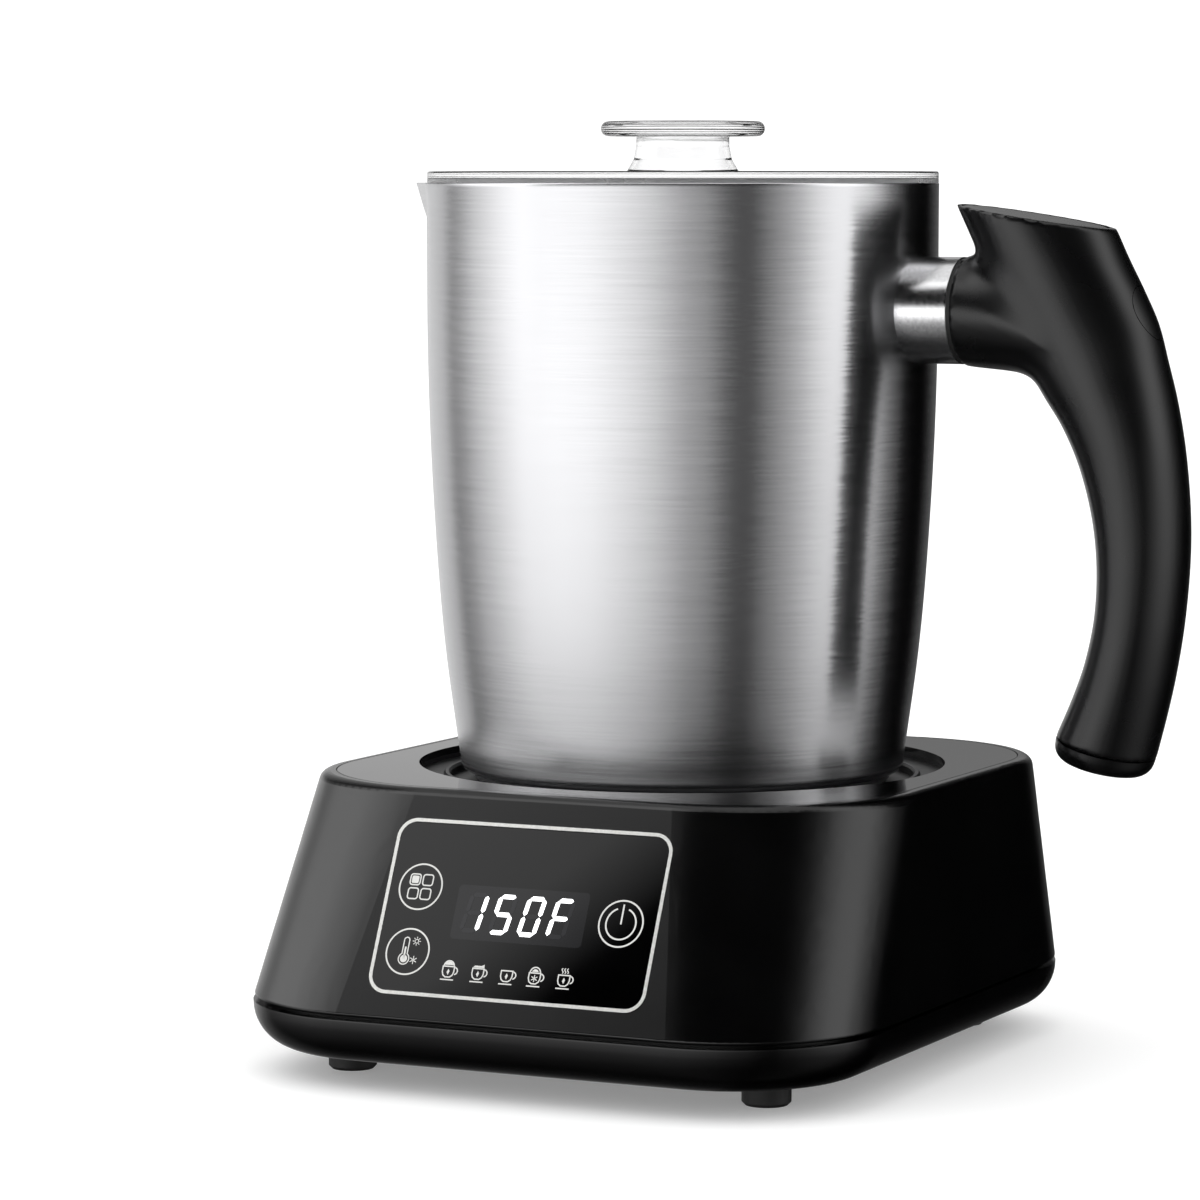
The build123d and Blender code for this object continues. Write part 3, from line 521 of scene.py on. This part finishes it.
def make_handle():
    grip = loft_object("handle_form", GRIP)
    elbow = loft_object("elbow_form", ELBOW, rings=60)
    both = bmesh.new()
    both.from_mesh(grip.data)
    both.from_mesh(elbow.data)
    both.to_mesh(grip.data)
    both.free()
    bpy.data.objects.remove(elbow)
    remesh = grip.modifiers.new("remesh", "REMESH")
    remesh.mode = "VOXEL"
    remesh.voxel_size = 0.55 * MM
    apply_modifiers(grip)
    # the grip and the arm run into each other in a soft hollow
    junction = grip.vertex_groups.new(name="junction")
    for v in grip.data.vertices:
        x, z = v.co.x / MM, v.co.z / MM
        weight = math.exp(-(((x - 76.0) / 9.0) ** 2 + ((z - 167.5) / 8.0) ** 2) ** 2)
        if x > 67.0 and weight > 0.01:
            junction.add([v.index], weight, "REPLACE")
    for group, factor, rounds in (("", 0.5, 5), ("junction", 0.9, 40)):
        smooth = grip.modifiers.new("smooth", "SMOOTH")
        smooth.factor = factor
        smooth.iterations = rounds
        smooth.vertex_group = group
    apply_modifiers(grip)
    fill_hollows(grip, (84.0, 157.0), 17.0, 300)
    plug = grip.copy()
    plug.data = grip.data.copy()
    plug.name = "screw_plug"
    bpy.context.scene.collection.objects.link(plug)
    hole = [(0.0, 99.5), (SCREW_CAP_R, 99.5), (SCREW_CAP_R, 120.0), (0.0, 120.0)]
    combine(grip, lathe("hole", hole, 96, "X", (0.0, 0.0, ARM_Z), False), "DIFFERENCE")
    inner = [(0.0, 99.5), (SCREW_CAP_R - 0.17, 99.5), (SCREW_CAP_R - 0.17, 120.0), (0.0, 120.0)]
    combine(plug, lathe("core", inner, 96, "X", (0.0, 0.0, ARM_Z), False), "INTERSECT")
    x, z, tilt, _, _ = GRIP[0]
    long, wide, thick = THUMB_PAD
    pocket = ellipse_prism("pocket", (x - 0.2, z), tilt, long + 0.25, wide + 0.25, -thick, 3.0)
    combine(grip, pocket, "DIFFERENCE")
    grip.name = "handle_shell"
    for obj in (grip, plug):
        obj.data.shade_smooth()
        obj.data.set_sharp_from_angle(angle=math.radians(38))
    piece(grip, "jug", "grip_black", SLOTS["grip_black"], "handle_grip")
    piece(plug, "jug", "grip_black", SLOTS["grip_black"], "handle_screw_cap")
    pad = ellipse_prism("thumb_rest", (x - 0.2, z), tilt, long, wide, -thick + 0.05, -0.05)
    piece(pad, "jug", "grip_black", SLOTS["grip_black"], "thumb_pad")


make_handle()


def make_end_cap():
    """Domed cap on the handle's lower end."""
    x, z, tilt, deep, wide = GRIP[-1]
    t = math.radians(tilt)
    around = 96
    rows = [(0.0, 0.0), (0.0, 0.97), (0.15, 0.992), (0.8, 0.985)]
    for k in range(1, 9):
        a = math.pi / 2 * k / 8
        rows.append((0.8 + 3.4 * math.sin(a), 0.985 - 0.30 * (1 - math.cos(a))))
    rows += [(END_CAP_DEPTH + 0.02, 0.4), (END_CAP_DEPTH + 0.02, 0.0)]
    verts = []
    for depth, share in rows:
        for j in range(around):
            a = 2 * math.pi * j / around
            u, v = deep * share * math.cos(a), wide * share * math.sin(a)
            verts.append((x + u * math.cos(t) - depth * math.sin(t), v,
                          z - u * math.sin(t) - depth * math.cos(t)))
    cap = mesh_object("handle_foot", verts, grid_faces(len(rows), around))
    piece(cap, "jug", "grip_black", SLOTS["grip_black"], "handle_end_cap")


make_end_cap()


# ---- lid ---------------------------------------------------------------------------------
def make_lid():
    plate = rounded([
        (0.0, LID_Z, 0), (LID_R, LID_Z, 0.15), (LID_R, LID_TOP, 0.5), (0.0, LID_TOP, 0),
    ])
    piece(lathe("lid_plate", plate, 256, closed=False), "lid", "lid_clear", SLOTS["lid_clear"], "lid_disc")
    straight = KNOB_Z - 2.1
    outer = [(NECK_FLARE_R, LID_TOP + 0.02, 0), (NECK_R + 0.55, LID_TOP + 2.6, 1.5), (NECK_R, straight, 1.0)]
    top = [(NECK_R, KNOB_Z, 0.3), (KNOB_R, KNOB_Z, 1.5), (KNOB_R, KNOB_Z + KNOB_DISC, 1.5),
           (0.0, KNOB_Z + KNOB_DISC, 0)]
    under = [(0.0, KNOB_Z, 0), (NECK_R - NECK_WALL, KNOB_Z, 0.3), (NECK_R - NECK_WALL, straight, 1.0),
             (NECK_R + 0.55 - NECK_WALL, LID_TOP + 2.6, 1.5), (NECK_FLARE_R - NECK_WALL, LID_TOP + 0.02, 0)]
    knob = rounded(outer + top) + rounded(under)
    piece(lathe("knob_clear", knob, 192), "lid", "lid_clear", SLOTS["lid_clear"], "lid_knob")


make_lid()


def make_ferrule():
    """Polished sleeve between the jug and the handle."""
    sleeve = rounded([
        (FERRULE_R - 1.0, 53.6, 0), (FERRULE_R, 53.6, 0), (FERRULE_R, FERRULE_END, 0.25),
        (FERRULE_R - 1.0, FERRULE_END, 0.1), (FERRULE_R - 1.0, 53.6, 0),
    ])
    obj = lathe("ferrule_sleeve", sleeve, 192, "X", (0.0, 0.0, ARM_Z), closed=False)
    for v in obj.data.vertices:
        if v.co.x < 54.0 * MM:
            radius = (wall_radius(v.co.z / MM) - 0.25) * MM
            v.co.x = math.sqrt(radius**2 - v.co.y**2)
    piece(obj, "jug", "ferrule_steel", SLOTS["ferrule_steel"], "handle_ferrule")


make_ferrule()


# ---- front panel prints ------------------------------------------------------------------
def on_panel(x, y, lift):
    """A point on the sloping face: x across, y up the slope, lift outwards."""
    return tuple(PANEL_CENTRE[i] + (x, 0.0, 0.0)[i] + y * PANEL_UP[i] + lift * PANEL_OUT[i]
                 for i in range(3))


def arc(x, y, r, start=0.0, end=360.0, steps=48):
    """Points along a circle."""
    angles = [math.radians(start + (end - start) * k / steps) for k in range(steps + 1)]
    points = [(x + r * math.cos(a), y + r * math.sin(a)) for a in angles]
    return points[:-1] if abs(end - start) >= 360 else points


def round_box(x, y, width, height, r):
    """Points along a rounded rectangle."""
    points = []
    for k, (sx, sy) in enumerate(((1, 1), (-1, 1), (-1, -1), (1, -1))):
        cx, cy = x + sx * (width / 2 - r), y + sy * (height / 2 - r)
        points += arc(cx, cy, r, 90 * k, 90 * k + 90, 8)
    return points


def stroke(points, width, closed=False):
    """A strip of even width along points, as (points, faces)."""
    p = np.array(points)
    after, before = np.roll(p, -1, 0) - p, p - np.roll(p, 1, 0)
    if not closed:
        after[-1], before[0] = before[-1], after[0]
    unit = lambda v: v / np.linalg.norm(v, axis=1)[:, None]
    after, before = unit(after), unit(before)
    along = unit(after + before)
    side = np.stack([-along[:, 1], along[:, 0]], 1)
    mitre = np.clip(np.abs((along * after).sum(1)), 0.5, 1)[:, None]
    left, right = p + side * width / 2 / mitre, p - side * width / 2 / mitre
    n = len(p)
    faces = [(i, (i + 1) % n, (i + 1) % n + n, i + n) for i in range(n if closed else n - 1)]
    return [tuple(v) for v in left] + [tuple(v) for v in right], faces


def fill(points):
    return list(points), [tuple(range(len(points)))]


def print_layer(name, shapes, lift, slot, mat, thickness=0.02):
    """Ink or film on the lens: flat shapes with a real thickness."""
    verts, faces = [], []
    for points, polygons in shapes:
        base = len(verts)
        verts += [on_panel(x, y, lift) for x, y in points]
        verts += [on_panel(x, y, lift - thickness) for x, y in points]
        n = len(points)
        edges = {}
        for polygon in polygons:
            faces.append(tuple(base + i for i in polygon))
            faces.append(tuple(base + n + i for i in reversed(polygon)))
            for a, b in zip(polygon, polygon[1:] + polygon[:1]):
                edges[(min(a, b), max(a, b))] = edges.get((min(a, b), max(a, b)), 0) + 1
        for (a, b), count in edges.items():
            if count == 1:
                faces.append((base + a, base + b, base + n + b, base + n + a))
    return piece(mesh_object(name, verts, faces), "base", slot, mat)


def segments(x0, lit):
    """Lit and unlit bars of one slanted seven-segment digit."""
    width, height, bar, gap, slant = 4.4, 8.6, 0.95, 0.10, 0.16
    half, h = height / 2 - bar / 2, bar / 2
    left, right = h, width - h
    lines = {
        "a": ((left, half), (right, half)), "b": ((right, half), (right, 0)),
        "c": ((right, 0), (right, -half)), "d": ((left, -half), (right, -half)),
        "e": ((left, 0), (left, -half)), "f": ((left, half), (left, 0)),
        "g": ((left, 0), (right, 0)),
    }
    on, off = [], []
    for key, (start, end) in lines.items():
        p, q = Vector(start), Vector(end)
        along = (q - p).normalized()
        side = Vector((-along.y, along.x)) * h
        p, q = p + along * gap, q - along * gap
        outline = [p, p + along * h + side, q - along * h + side, q,
                   q - along * h - side, p + along * h - side]
        shape = fill([(x0 + v.x + slant * (v.y + height / 2), v.y) for v in outline])
        (on if key in lit else off).append(shape)
    return on, off


def cup(x, y, top):
    """A small cup symbol with its saucer, and what is on top of it."""
    line = 0.26
    bowl = [(x - 1.3, y + 1.25), (x - 1.3, y + 0.1), (x - 1.05, y - 0.6), (x - 0.5, y - 1.0),
            (x + 0.5, y - 1.0), (x + 1.05, y - 0.6), (x + 1.3, y + 0.1), (x + 1.3, y + 1.25)]
    shapes = [
        stroke(bowl, line, closed=True),
        stroke(arc(x + 1.35, y + 0.35, 0.75, -80, 80, 12), line),
        stroke([(x - 1.5, y - 1.55), (x + 1.5, y - 1.55)], line),
    ]
    if top in ("dome", "iced"):
        shapes.append(stroke(arc(x, y + 1.3, 1.15, 0, 180, 16), line))
        shapes.append(fill(arc(x, y + 1.3, 1.0 if top == "dome" else 0.75, 15, 165, 12)))
    if top == "foam":
        shapes.append(fill([(x - 1.3, y + 1.45), (x + 1.3, y + 1.45), (x + 1.2, y + 2.2),
                            (x + 0.7, y + 1.85), (x - 0.9, y + 1.85)]))
    if top == "steam":
        for dx in (-0.6, 0.0, 0.6):
            wave = [(x + dx + 0.18 * math.sin(k * 1.3), y + 1.6 + 0.22 * k) for k in range(6)]
            shapes.append(stroke(wave, 0.2))
    if top == "iced":
        shapes += star(x, y + 0.1, 0.75, 3)
    else:
        shapes.append(fill([(x, y + 0.75), (x + 0.32, y + 0.25), (x + 0.05, y - 0.55), (x - 0.32, y)]))
    return shapes


def star(x, y, r, lines, width=0.18):
    """Crossed lines, as in a snowflake or a sun's rays."""
    shapes = []
    for k in range(lines):
        a = math.pi * k / lines + math.pi / 2
        dx, dy = r * math.cos(a), r * math.sin(a)
        shapes.append(stroke([(x - dx, y - dy), (x + dx, y + dy)], width))
    return shapes


def make_panel():
    lens = SLOTS["lens_black"]
    ink = moulded("panel_ink", (0.62, 0.62, 0.60), (0.35, 0.5), 0.06)
    border = metal("panel_border_silver", (0.86, 0.86, 0.83), (0.28, 0.4))
    smoke = moulded("window_smoke", (0.010, 0.010, 0.011), (0.03, 0.05), 0.1, height=0.0)
    unlit = moulded("segments_unlit", (0.018, 0.018, 0.020), (0.05, 0.08), 0.1, height=0.0)
    glow = material("segments_lit", (0.9, 0.9, 0.9), 0.3, Emission_Strength=1.6)
    tone = noise_of(glow, 0.0006)
    drive_colour(glow, tone, (0.86, 0.88, 0.9), (0.95, 0.95, 0.95))
    shine = node(glow, "ShaderNodeValToRGB")
    shine.color_ramp.elements[0].color = (0.92, 0.94, 0.96, 1.0)
    glow.node_tree.links.new(tone, shine.inputs["Fac"])
    glow.node_tree.links.new(
        shine.outputs["Color"], glow.node_tree.nodes["Principled BSDF"].inputs["Emission Color"])
    frame_line = [stroke(round_box(0.0, 0.5, 62.0, 37.0, 3.9), 0.75, closed=True)]
    print_layer("panel_border", frame_line, 0.05, "ferrule_steel", border, 0.04)
    print_layer("panel_window", [fill(round_box(0.2, 0.0, 29.8, 11.6, 0.9))], 0.02, "lens_black", smoke)
    digits = [segments(-13.05 + 6.53 * k, lit) for k, lit in enumerate(("bc", "afgcd", "abcdef", "afge"))]
    print_layer("digits_lit", [s for on, _ in digits for s in on], 0.06, "display_grey", glow)
    print_layer("digits_unlit", [s for _, off in digits for s in off], 0.05, "display_grey", unlit)
    key_r, line = 4.85, 0.34
    symbols = [stroke(arc(x, y, key_r, steps=72), line, closed=True)
               for x, y in ((-23.6, 4.7), (-23.6, -9.2), (22.95, -0.1))]
    for x in (-25.1, -22.2):
        for y in (6.2, 3.2):
            symbols.append(stroke(round_box(x, y, 2.3, 2.3, 0.55), 0.28, closed=True))
    symbols.append(fill(round_box(-25.1, 6.2, 1.6, 1.6, 0.3)))
    bulb_y = -10.75
    tube_line = arc(-24.2, -6.8, 0.6, 0, 180, 10) + arc(-24.2, bulb_y, 1.2, 120, 420, 24)
    symbols.append(stroke(tube_line, 0.24, closed=True))
    symbols.append(fill(arc(-24.2, bulb_y, 0.8, steps=24)))
    symbols.append(stroke([(-24.2, bulb_y), (-24.2, -8.2)], 0.4))
    symbols.append(stroke(arc(-21.95, -6.9, 0.42, steps=16), 0.16, closed=True))
    for k in range(8):
        a = math.pi * k / 4
        ray = [(-21.95 + r * math.cos(a), -6.9 + r * math.sin(a)) for r in (0.6, 0.95)]
        symbols.append(stroke(ray, 0.16))
    symbols += star(-21.95, -10.9, 0.85, 3)
    symbols.append(stroke(arc(22.95, -0.1, 3.3, 112, 428, 48), line))
    symbols.append(stroke([(22.95, -0.2), (22.95, 3.95)], line))
    for x, top in zip((-13.5, -6.75, -0.2, 6.1, 12.7), ("dome", "foam", "", "iced", "steam")):
        symbols += cup(x, -12.9, top)
    print_layer("panel_symbols", symbols, 0.04, "display_grey", ink)
    return lens


make_panel()


# ---- whisk wire --------------------------------------------------------------------------
def make_whisk_coil():
    """Spring wire wound around the whisk's ring between its three arms."""
    turns, radius, wire, gap = 30, 3.75, 0.45, 6.0
    curve = bpy.data.curves.new("whisk_wire", "CURVE")
    curve.dimensions = "3D"
    curve.bevel_depth = wire * MM
    curve.bevel_resolution = 3
    for start in (90, 210, 330):
        steps = turns * 14
        spline = curve.splines.new("POLY")
        spline.points.add(steps)
        for k in range(steps + 1):
            share = k / steps
            around = math.radians(start + gap + (120 - 2 * gap) * share)
            twist = 2 * math.pi * turns * share
            r = WHISK_RING_R + radius * math.cos(twist)
            z = RING_Z + radius * math.sin(twist)
            spline.points[k].co = (r * math.cos(around) * MM, r * math.sin(around) * MM, z * MM, 1.0)
        spline.use_smooth = True
    obj = bpy.data.objects.new("whisk_wire", curve)
    bpy.context.scene.collection.objects.link(obj)
    piece(obj, "whisk_head", "whisk_steel", SLOTS["whisk_steel"], "whisk_coil")


make_whisk_coil()


# ---- studio ------------------------------------------------------------------------------
def world_math(tree, operation, a, b=None):
    """A Math node in the world's tree; inputs are numbers or outputs."""
    new = tree.nodes.new("ShaderNodeMath")
    new.operation = operation
    for socket, value in zip(new.inputs, (a, b)):
        if value is None:
            continue
        if isinstance(value, (int, float)):
            socket.default_value = value
        else:
            tree.links.new(value, socket)
    return new.outputs[0]


def ramp_of(tree, value, stops):
    """A grey ramp over 0..1 with (position, brightness) stops."""
    ramp = tree.nodes.new("ShaderNodeValToRGB")
    elements = ramp.color_ramp.elements
    while len(elements) < len(stops):
        elements.new(0.5)
    for element, (position, brightness) in zip(elements, stops):
        element.position = position
        element.color = (brightness, brightness, brightness, 1.0)
    tree.links.new(value, ramp.inputs["Fac"])
    return ramp.outputs["Color"]


# brightness of the light tent near the horizon, by degrees clockwise from the camera's side
HORIZON = [
    (-180, 0.42), (-150, 0.38), (-138, 0.34), (-127, 0.135), (-117, 0.21), (-109, 0.34), (-100, 0.46),
    (-89, 0.65), (-77, 0.86), (-60, 0.99), (-45, 0.99), (-36, 0.92), (-26, 0.81), (-17, 0.69),
    (-8, 0.53), (0, 0.377), (10, 0.278), (18, 0.12), (24, 0.064), (31, 0.064), (37, 0.165), (45, 0.27),
    (54, 0.39), (62, 0.54), (70, 0.64), (80, 0.68), (92, 0.50), (105, 0.12), (118, 0.0), (142, 0.0),
    (165, 0.06), (180, 0.12),
]
# the same higher up: a bright panel to the left with a slanted edge, another to the right
UPPER = [
    (-180, 0.24), (-150, 0.12), (-135, 0.04), (-125, 0.12), (-112, 0.56), (-95, 0.95), (-75, 0.80),
    (-63, 0.58), (-58.95, 0.42), (-58.75, 0.0), (-16, 0.0), (34, 0.0), (46, 0.04),
    (54, 0.20), (62, 0.50), (72, 0.72), (85, 0.70), (96, 0.34), (107, 0.08), (119, 0.01), (135, 0.0),
    (150, 0.0), (180, 0.04),
]
# share of the horizon's light that comes from below it, by degrees of height
BELOW = [(-90, 0.02), (-55, 0.04), (-30, 0.16), (-20, 0.34), (-14, 0.64), (-8, 0.95), (0, 1.0)]
HORIZON_STRENGTH = 1.9
UPPER_STRENGTH = 2.5
OVERHEAD_STRENGTH = 1.0
UPPER_FROM = (2.0, 14.0)       # degrees of height between which the upper panels take over
OVERHEAD_FROM = (52.0, 64.0)   # and those between which the overhead one does
DULL_STRENGTH = 1.2            # what the camera, dull surfaces and clear plastic see
EDGE_HEIGHT = 35.0             # the slanted edge is measured at this height
EDGE_SLANT = 0.62


def clamp_ramp(tree, value, start, end):
    """0 below one height, 1 above the other, and smooth between; heights in degrees."""
    span = tree.nodes.new("ShaderNodeMapRange")
    span.interpolation_type = "SMOOTHSTEP"
    for key, degrees in (("From Min", start), ("From Max", end)):
        span.inputs[key].default_value = math.radians(degrees)
    tree.links.new(value, span.inputs["Value"])
    return span.outputs["Result"]


def make_world():
    """A light tent: soft panels to the left, the right, behind and above, with dark gaps.
    The camera, dull surfaces and clear plastic see plain white."""
    world = bpy.data.worlds.new("studio")
    world.use_nodes = True
    bpy.context.scene.world = world
    tree = world.node_tree
    coords = tree.nodes.new("ShaderNodeTexCoord")
    axes = tree.nodes.new("ShaderNodeSeparateXYZ")
    tree.links.new(coords.outputs["Generated"], axes.inputs["Vector"])
    x, y, z = axes.outputs

    def maths(operation, first, second=None):
        return world_math(tree, operation, first, second)

    def turn_share(angle):
        return maths("FRACT", maths("DIVIDE", maths("ADD", angle, math.pi), 2 * math.pi))

    turn = maths("ARCTAN2", x, maths("MULTIPLY", y, -1.0))
    turn = maths("SUBTRACT", turn, math.radians(CAMERA_AZIMUTH))
    rise = maths("ARCSINE", z)
    ring = ramp_of(tree, turn_share(turn), [((a + 180) / 360, b) for a, b in HORIZON])
    height = maths("ADD", maths("DIVIDE", rise, math.radians(90)), 1.0)
    below = ramp_of(tree, height, [((a + 90) / 90, b) for a, b in BELOW])
    ring = maths("MULTIPLY", maths("MULTIPLY", ring, below), HORIZON_STRENGTH)
    off_edge = maths("SUBTRACT", rise, math.radians(EDGE_HEIGHT))
    left = maths("LESS_THAN", turn, 0.0)
    slant = maths("MULTIPLY", maths("MULTIPLY", off_edge, EDGE_SLANT), left)
    upper = turn_share(maths("SUBTRACT", turn, slant))
    upper = ramp_of(tree, upper, [((a + 180) / 360, b) for a, b in UPPER])
    upper = maths("MULTIPLY", upper, UPPER_STRENGTH)
    high = clamp_ramp(tree, rise, *UPPER_FROM)
    over = clamp_ramp(tree, rise, *OVERHEAD_FROM)
    low_part = maths("MULTIPLY", ring, maths("SUBTRACT", 1.0, high))
    sides = maths("ADD", maths("MULTIPLY", upper, high), low_part)
    total = maths("ADD", maths("MULTIPLY", sides, maths("SUBTRACT", 1.0, over)),
                  maths("MULTIPLY", over, OVERHEAD_STRENGTH))
    panels = tree.nodes["Background"]
    tree.links.new(total, panels.inputs["Strength"])
    panels.inputs["Color"].default_value = (1.0, 1.0, 1.0, 1.0)
    plain = tree.nodes.new("ShaderNodeBackground")
    plain.inputs["Color"].default_value = (1.0, 1.0, 1.0, 1.0)
    plain.inputs["Strength"].default_value = DULL_STRENGTH
    path = tree.nodes.new("ShaderNodeLightPath")
    straight = maths("SUBTRACT", 1.0, path.outputs["Is Transmission Ray"])
    mirrored = maths("MULTIPLY", path.outputs["Is Glossy Ray"], straight)
    mix = tree.nodes.new("ShaderNodeMixShader")
    tree.links.new(mirrored, mix.inputs["Fac"])
    tree.links.new(plain.outputs["Background"], mix.inputs[1])
    tree.links.new(panels.outputs["Background"], mix.inputs[2])
    tree.links.new(mix.outputs["Shader"], tree.nodes["World Output"].inputs["Surface"])
    # light sampling would show shiny surfaces the plain white as well
    world.cycles.sampling_method = "NONE"


FLOOR_REACH = 4.0              # metres each way
FLOOR_GLOW = 0.24              # a lit table top, which softens the shadow


def make_floor():
    """A plain pale floor, in whose place shiny surfaces mirror the light tent."""
    far = FLOOR_REACH / MM
    verts = [(-far, -far, 0), (far, -far, 0), (far, far, 0), (-far, far, 0)]
    floor = mesh_object("floor", verts, [(0, 1, 2, 3)])
    mat = material("floor_pale", (0.86, 0.86, 0.86), 0.6)
    drive_colour(mat, noise_of(mat, 0.25), (0.85, 0.85, 0.85), (0.87, 0.87, 0.87))
    tree = mat.node_tree
    shader = tree.nodes["Principled BSDF"]
    shader.inputs["Emission Color"].default_value = (1.0, 1.0, 1.0, 1.0)
    shader.inputs["Emission Strength"].default_value = FLOOR_GLOW
    path = tree.nodes.new("ShaderNodeLightPath")
    clear = tree.nodes.new("ShaderNodeBsdfTransparent")
    mix = tree.nodes.new("ShaderNodeMixShader")
    tree.links.new(path.outputs["Is Glossy Ray"], mix.inputs["Fac"])
    tree.links.new(tree.nodes["Principled BSDF"].outputs["BSDF"], mix.inputs[1])
    tree.links.new(clear.outputs["BSDF"], mix.inputs[2])
    tree.links.new(mix.outputs["Shader"], tree.nodes["Material Output"].inputs["Surface"])
    floor.data.materials.append(mat)


SUN_ENERGY = 0.5
SUN_SPREAD = 60.0              # degrees
SUN_DIRECTION = (0.30, 0.20, -1.0)


def make_sun():
    """A broad light from above and the left, which mirrors do not show."""
    light = bpy.data.lights.new("overhead", "SUN")
    light.energy = SUN_ENERGY
    light.angle = math.radians(SUN_SPREAD)
    obj = bpy.data.objects.new("overhead", light)
    obj.rotation_euler = Vector(SUN_DIRECTION).to_track_quat("-Z", "Y").to_euler()
    obj.visible_glossy = False
    bpy.context.scene.collection.objects.link(obj)


def make_camera():
    camera = bpy.data.cameras.new("camera")
    camera.lens = CAMERA_LENS
    camera.sensor_width = SENSOR_WIDTH
    camera.clip_start = 0.01
    obj = bpy.data.objects.new("camera", camera)
    obj.location = CAMERA_PLACE
    obj.rotation_euler = (
        math.radians(90 - CAMERA_PITCH), 0.0, math.radians(CAMERA_AZIMUTH))
    bpy.context.scene.collection.objects.link(obj)
    bpy.context.scene.camera = obj


make_world()
make_floor()
make_sun()
make_camera()
bpy.context.scene.view_settings.view_transform = "Standard"
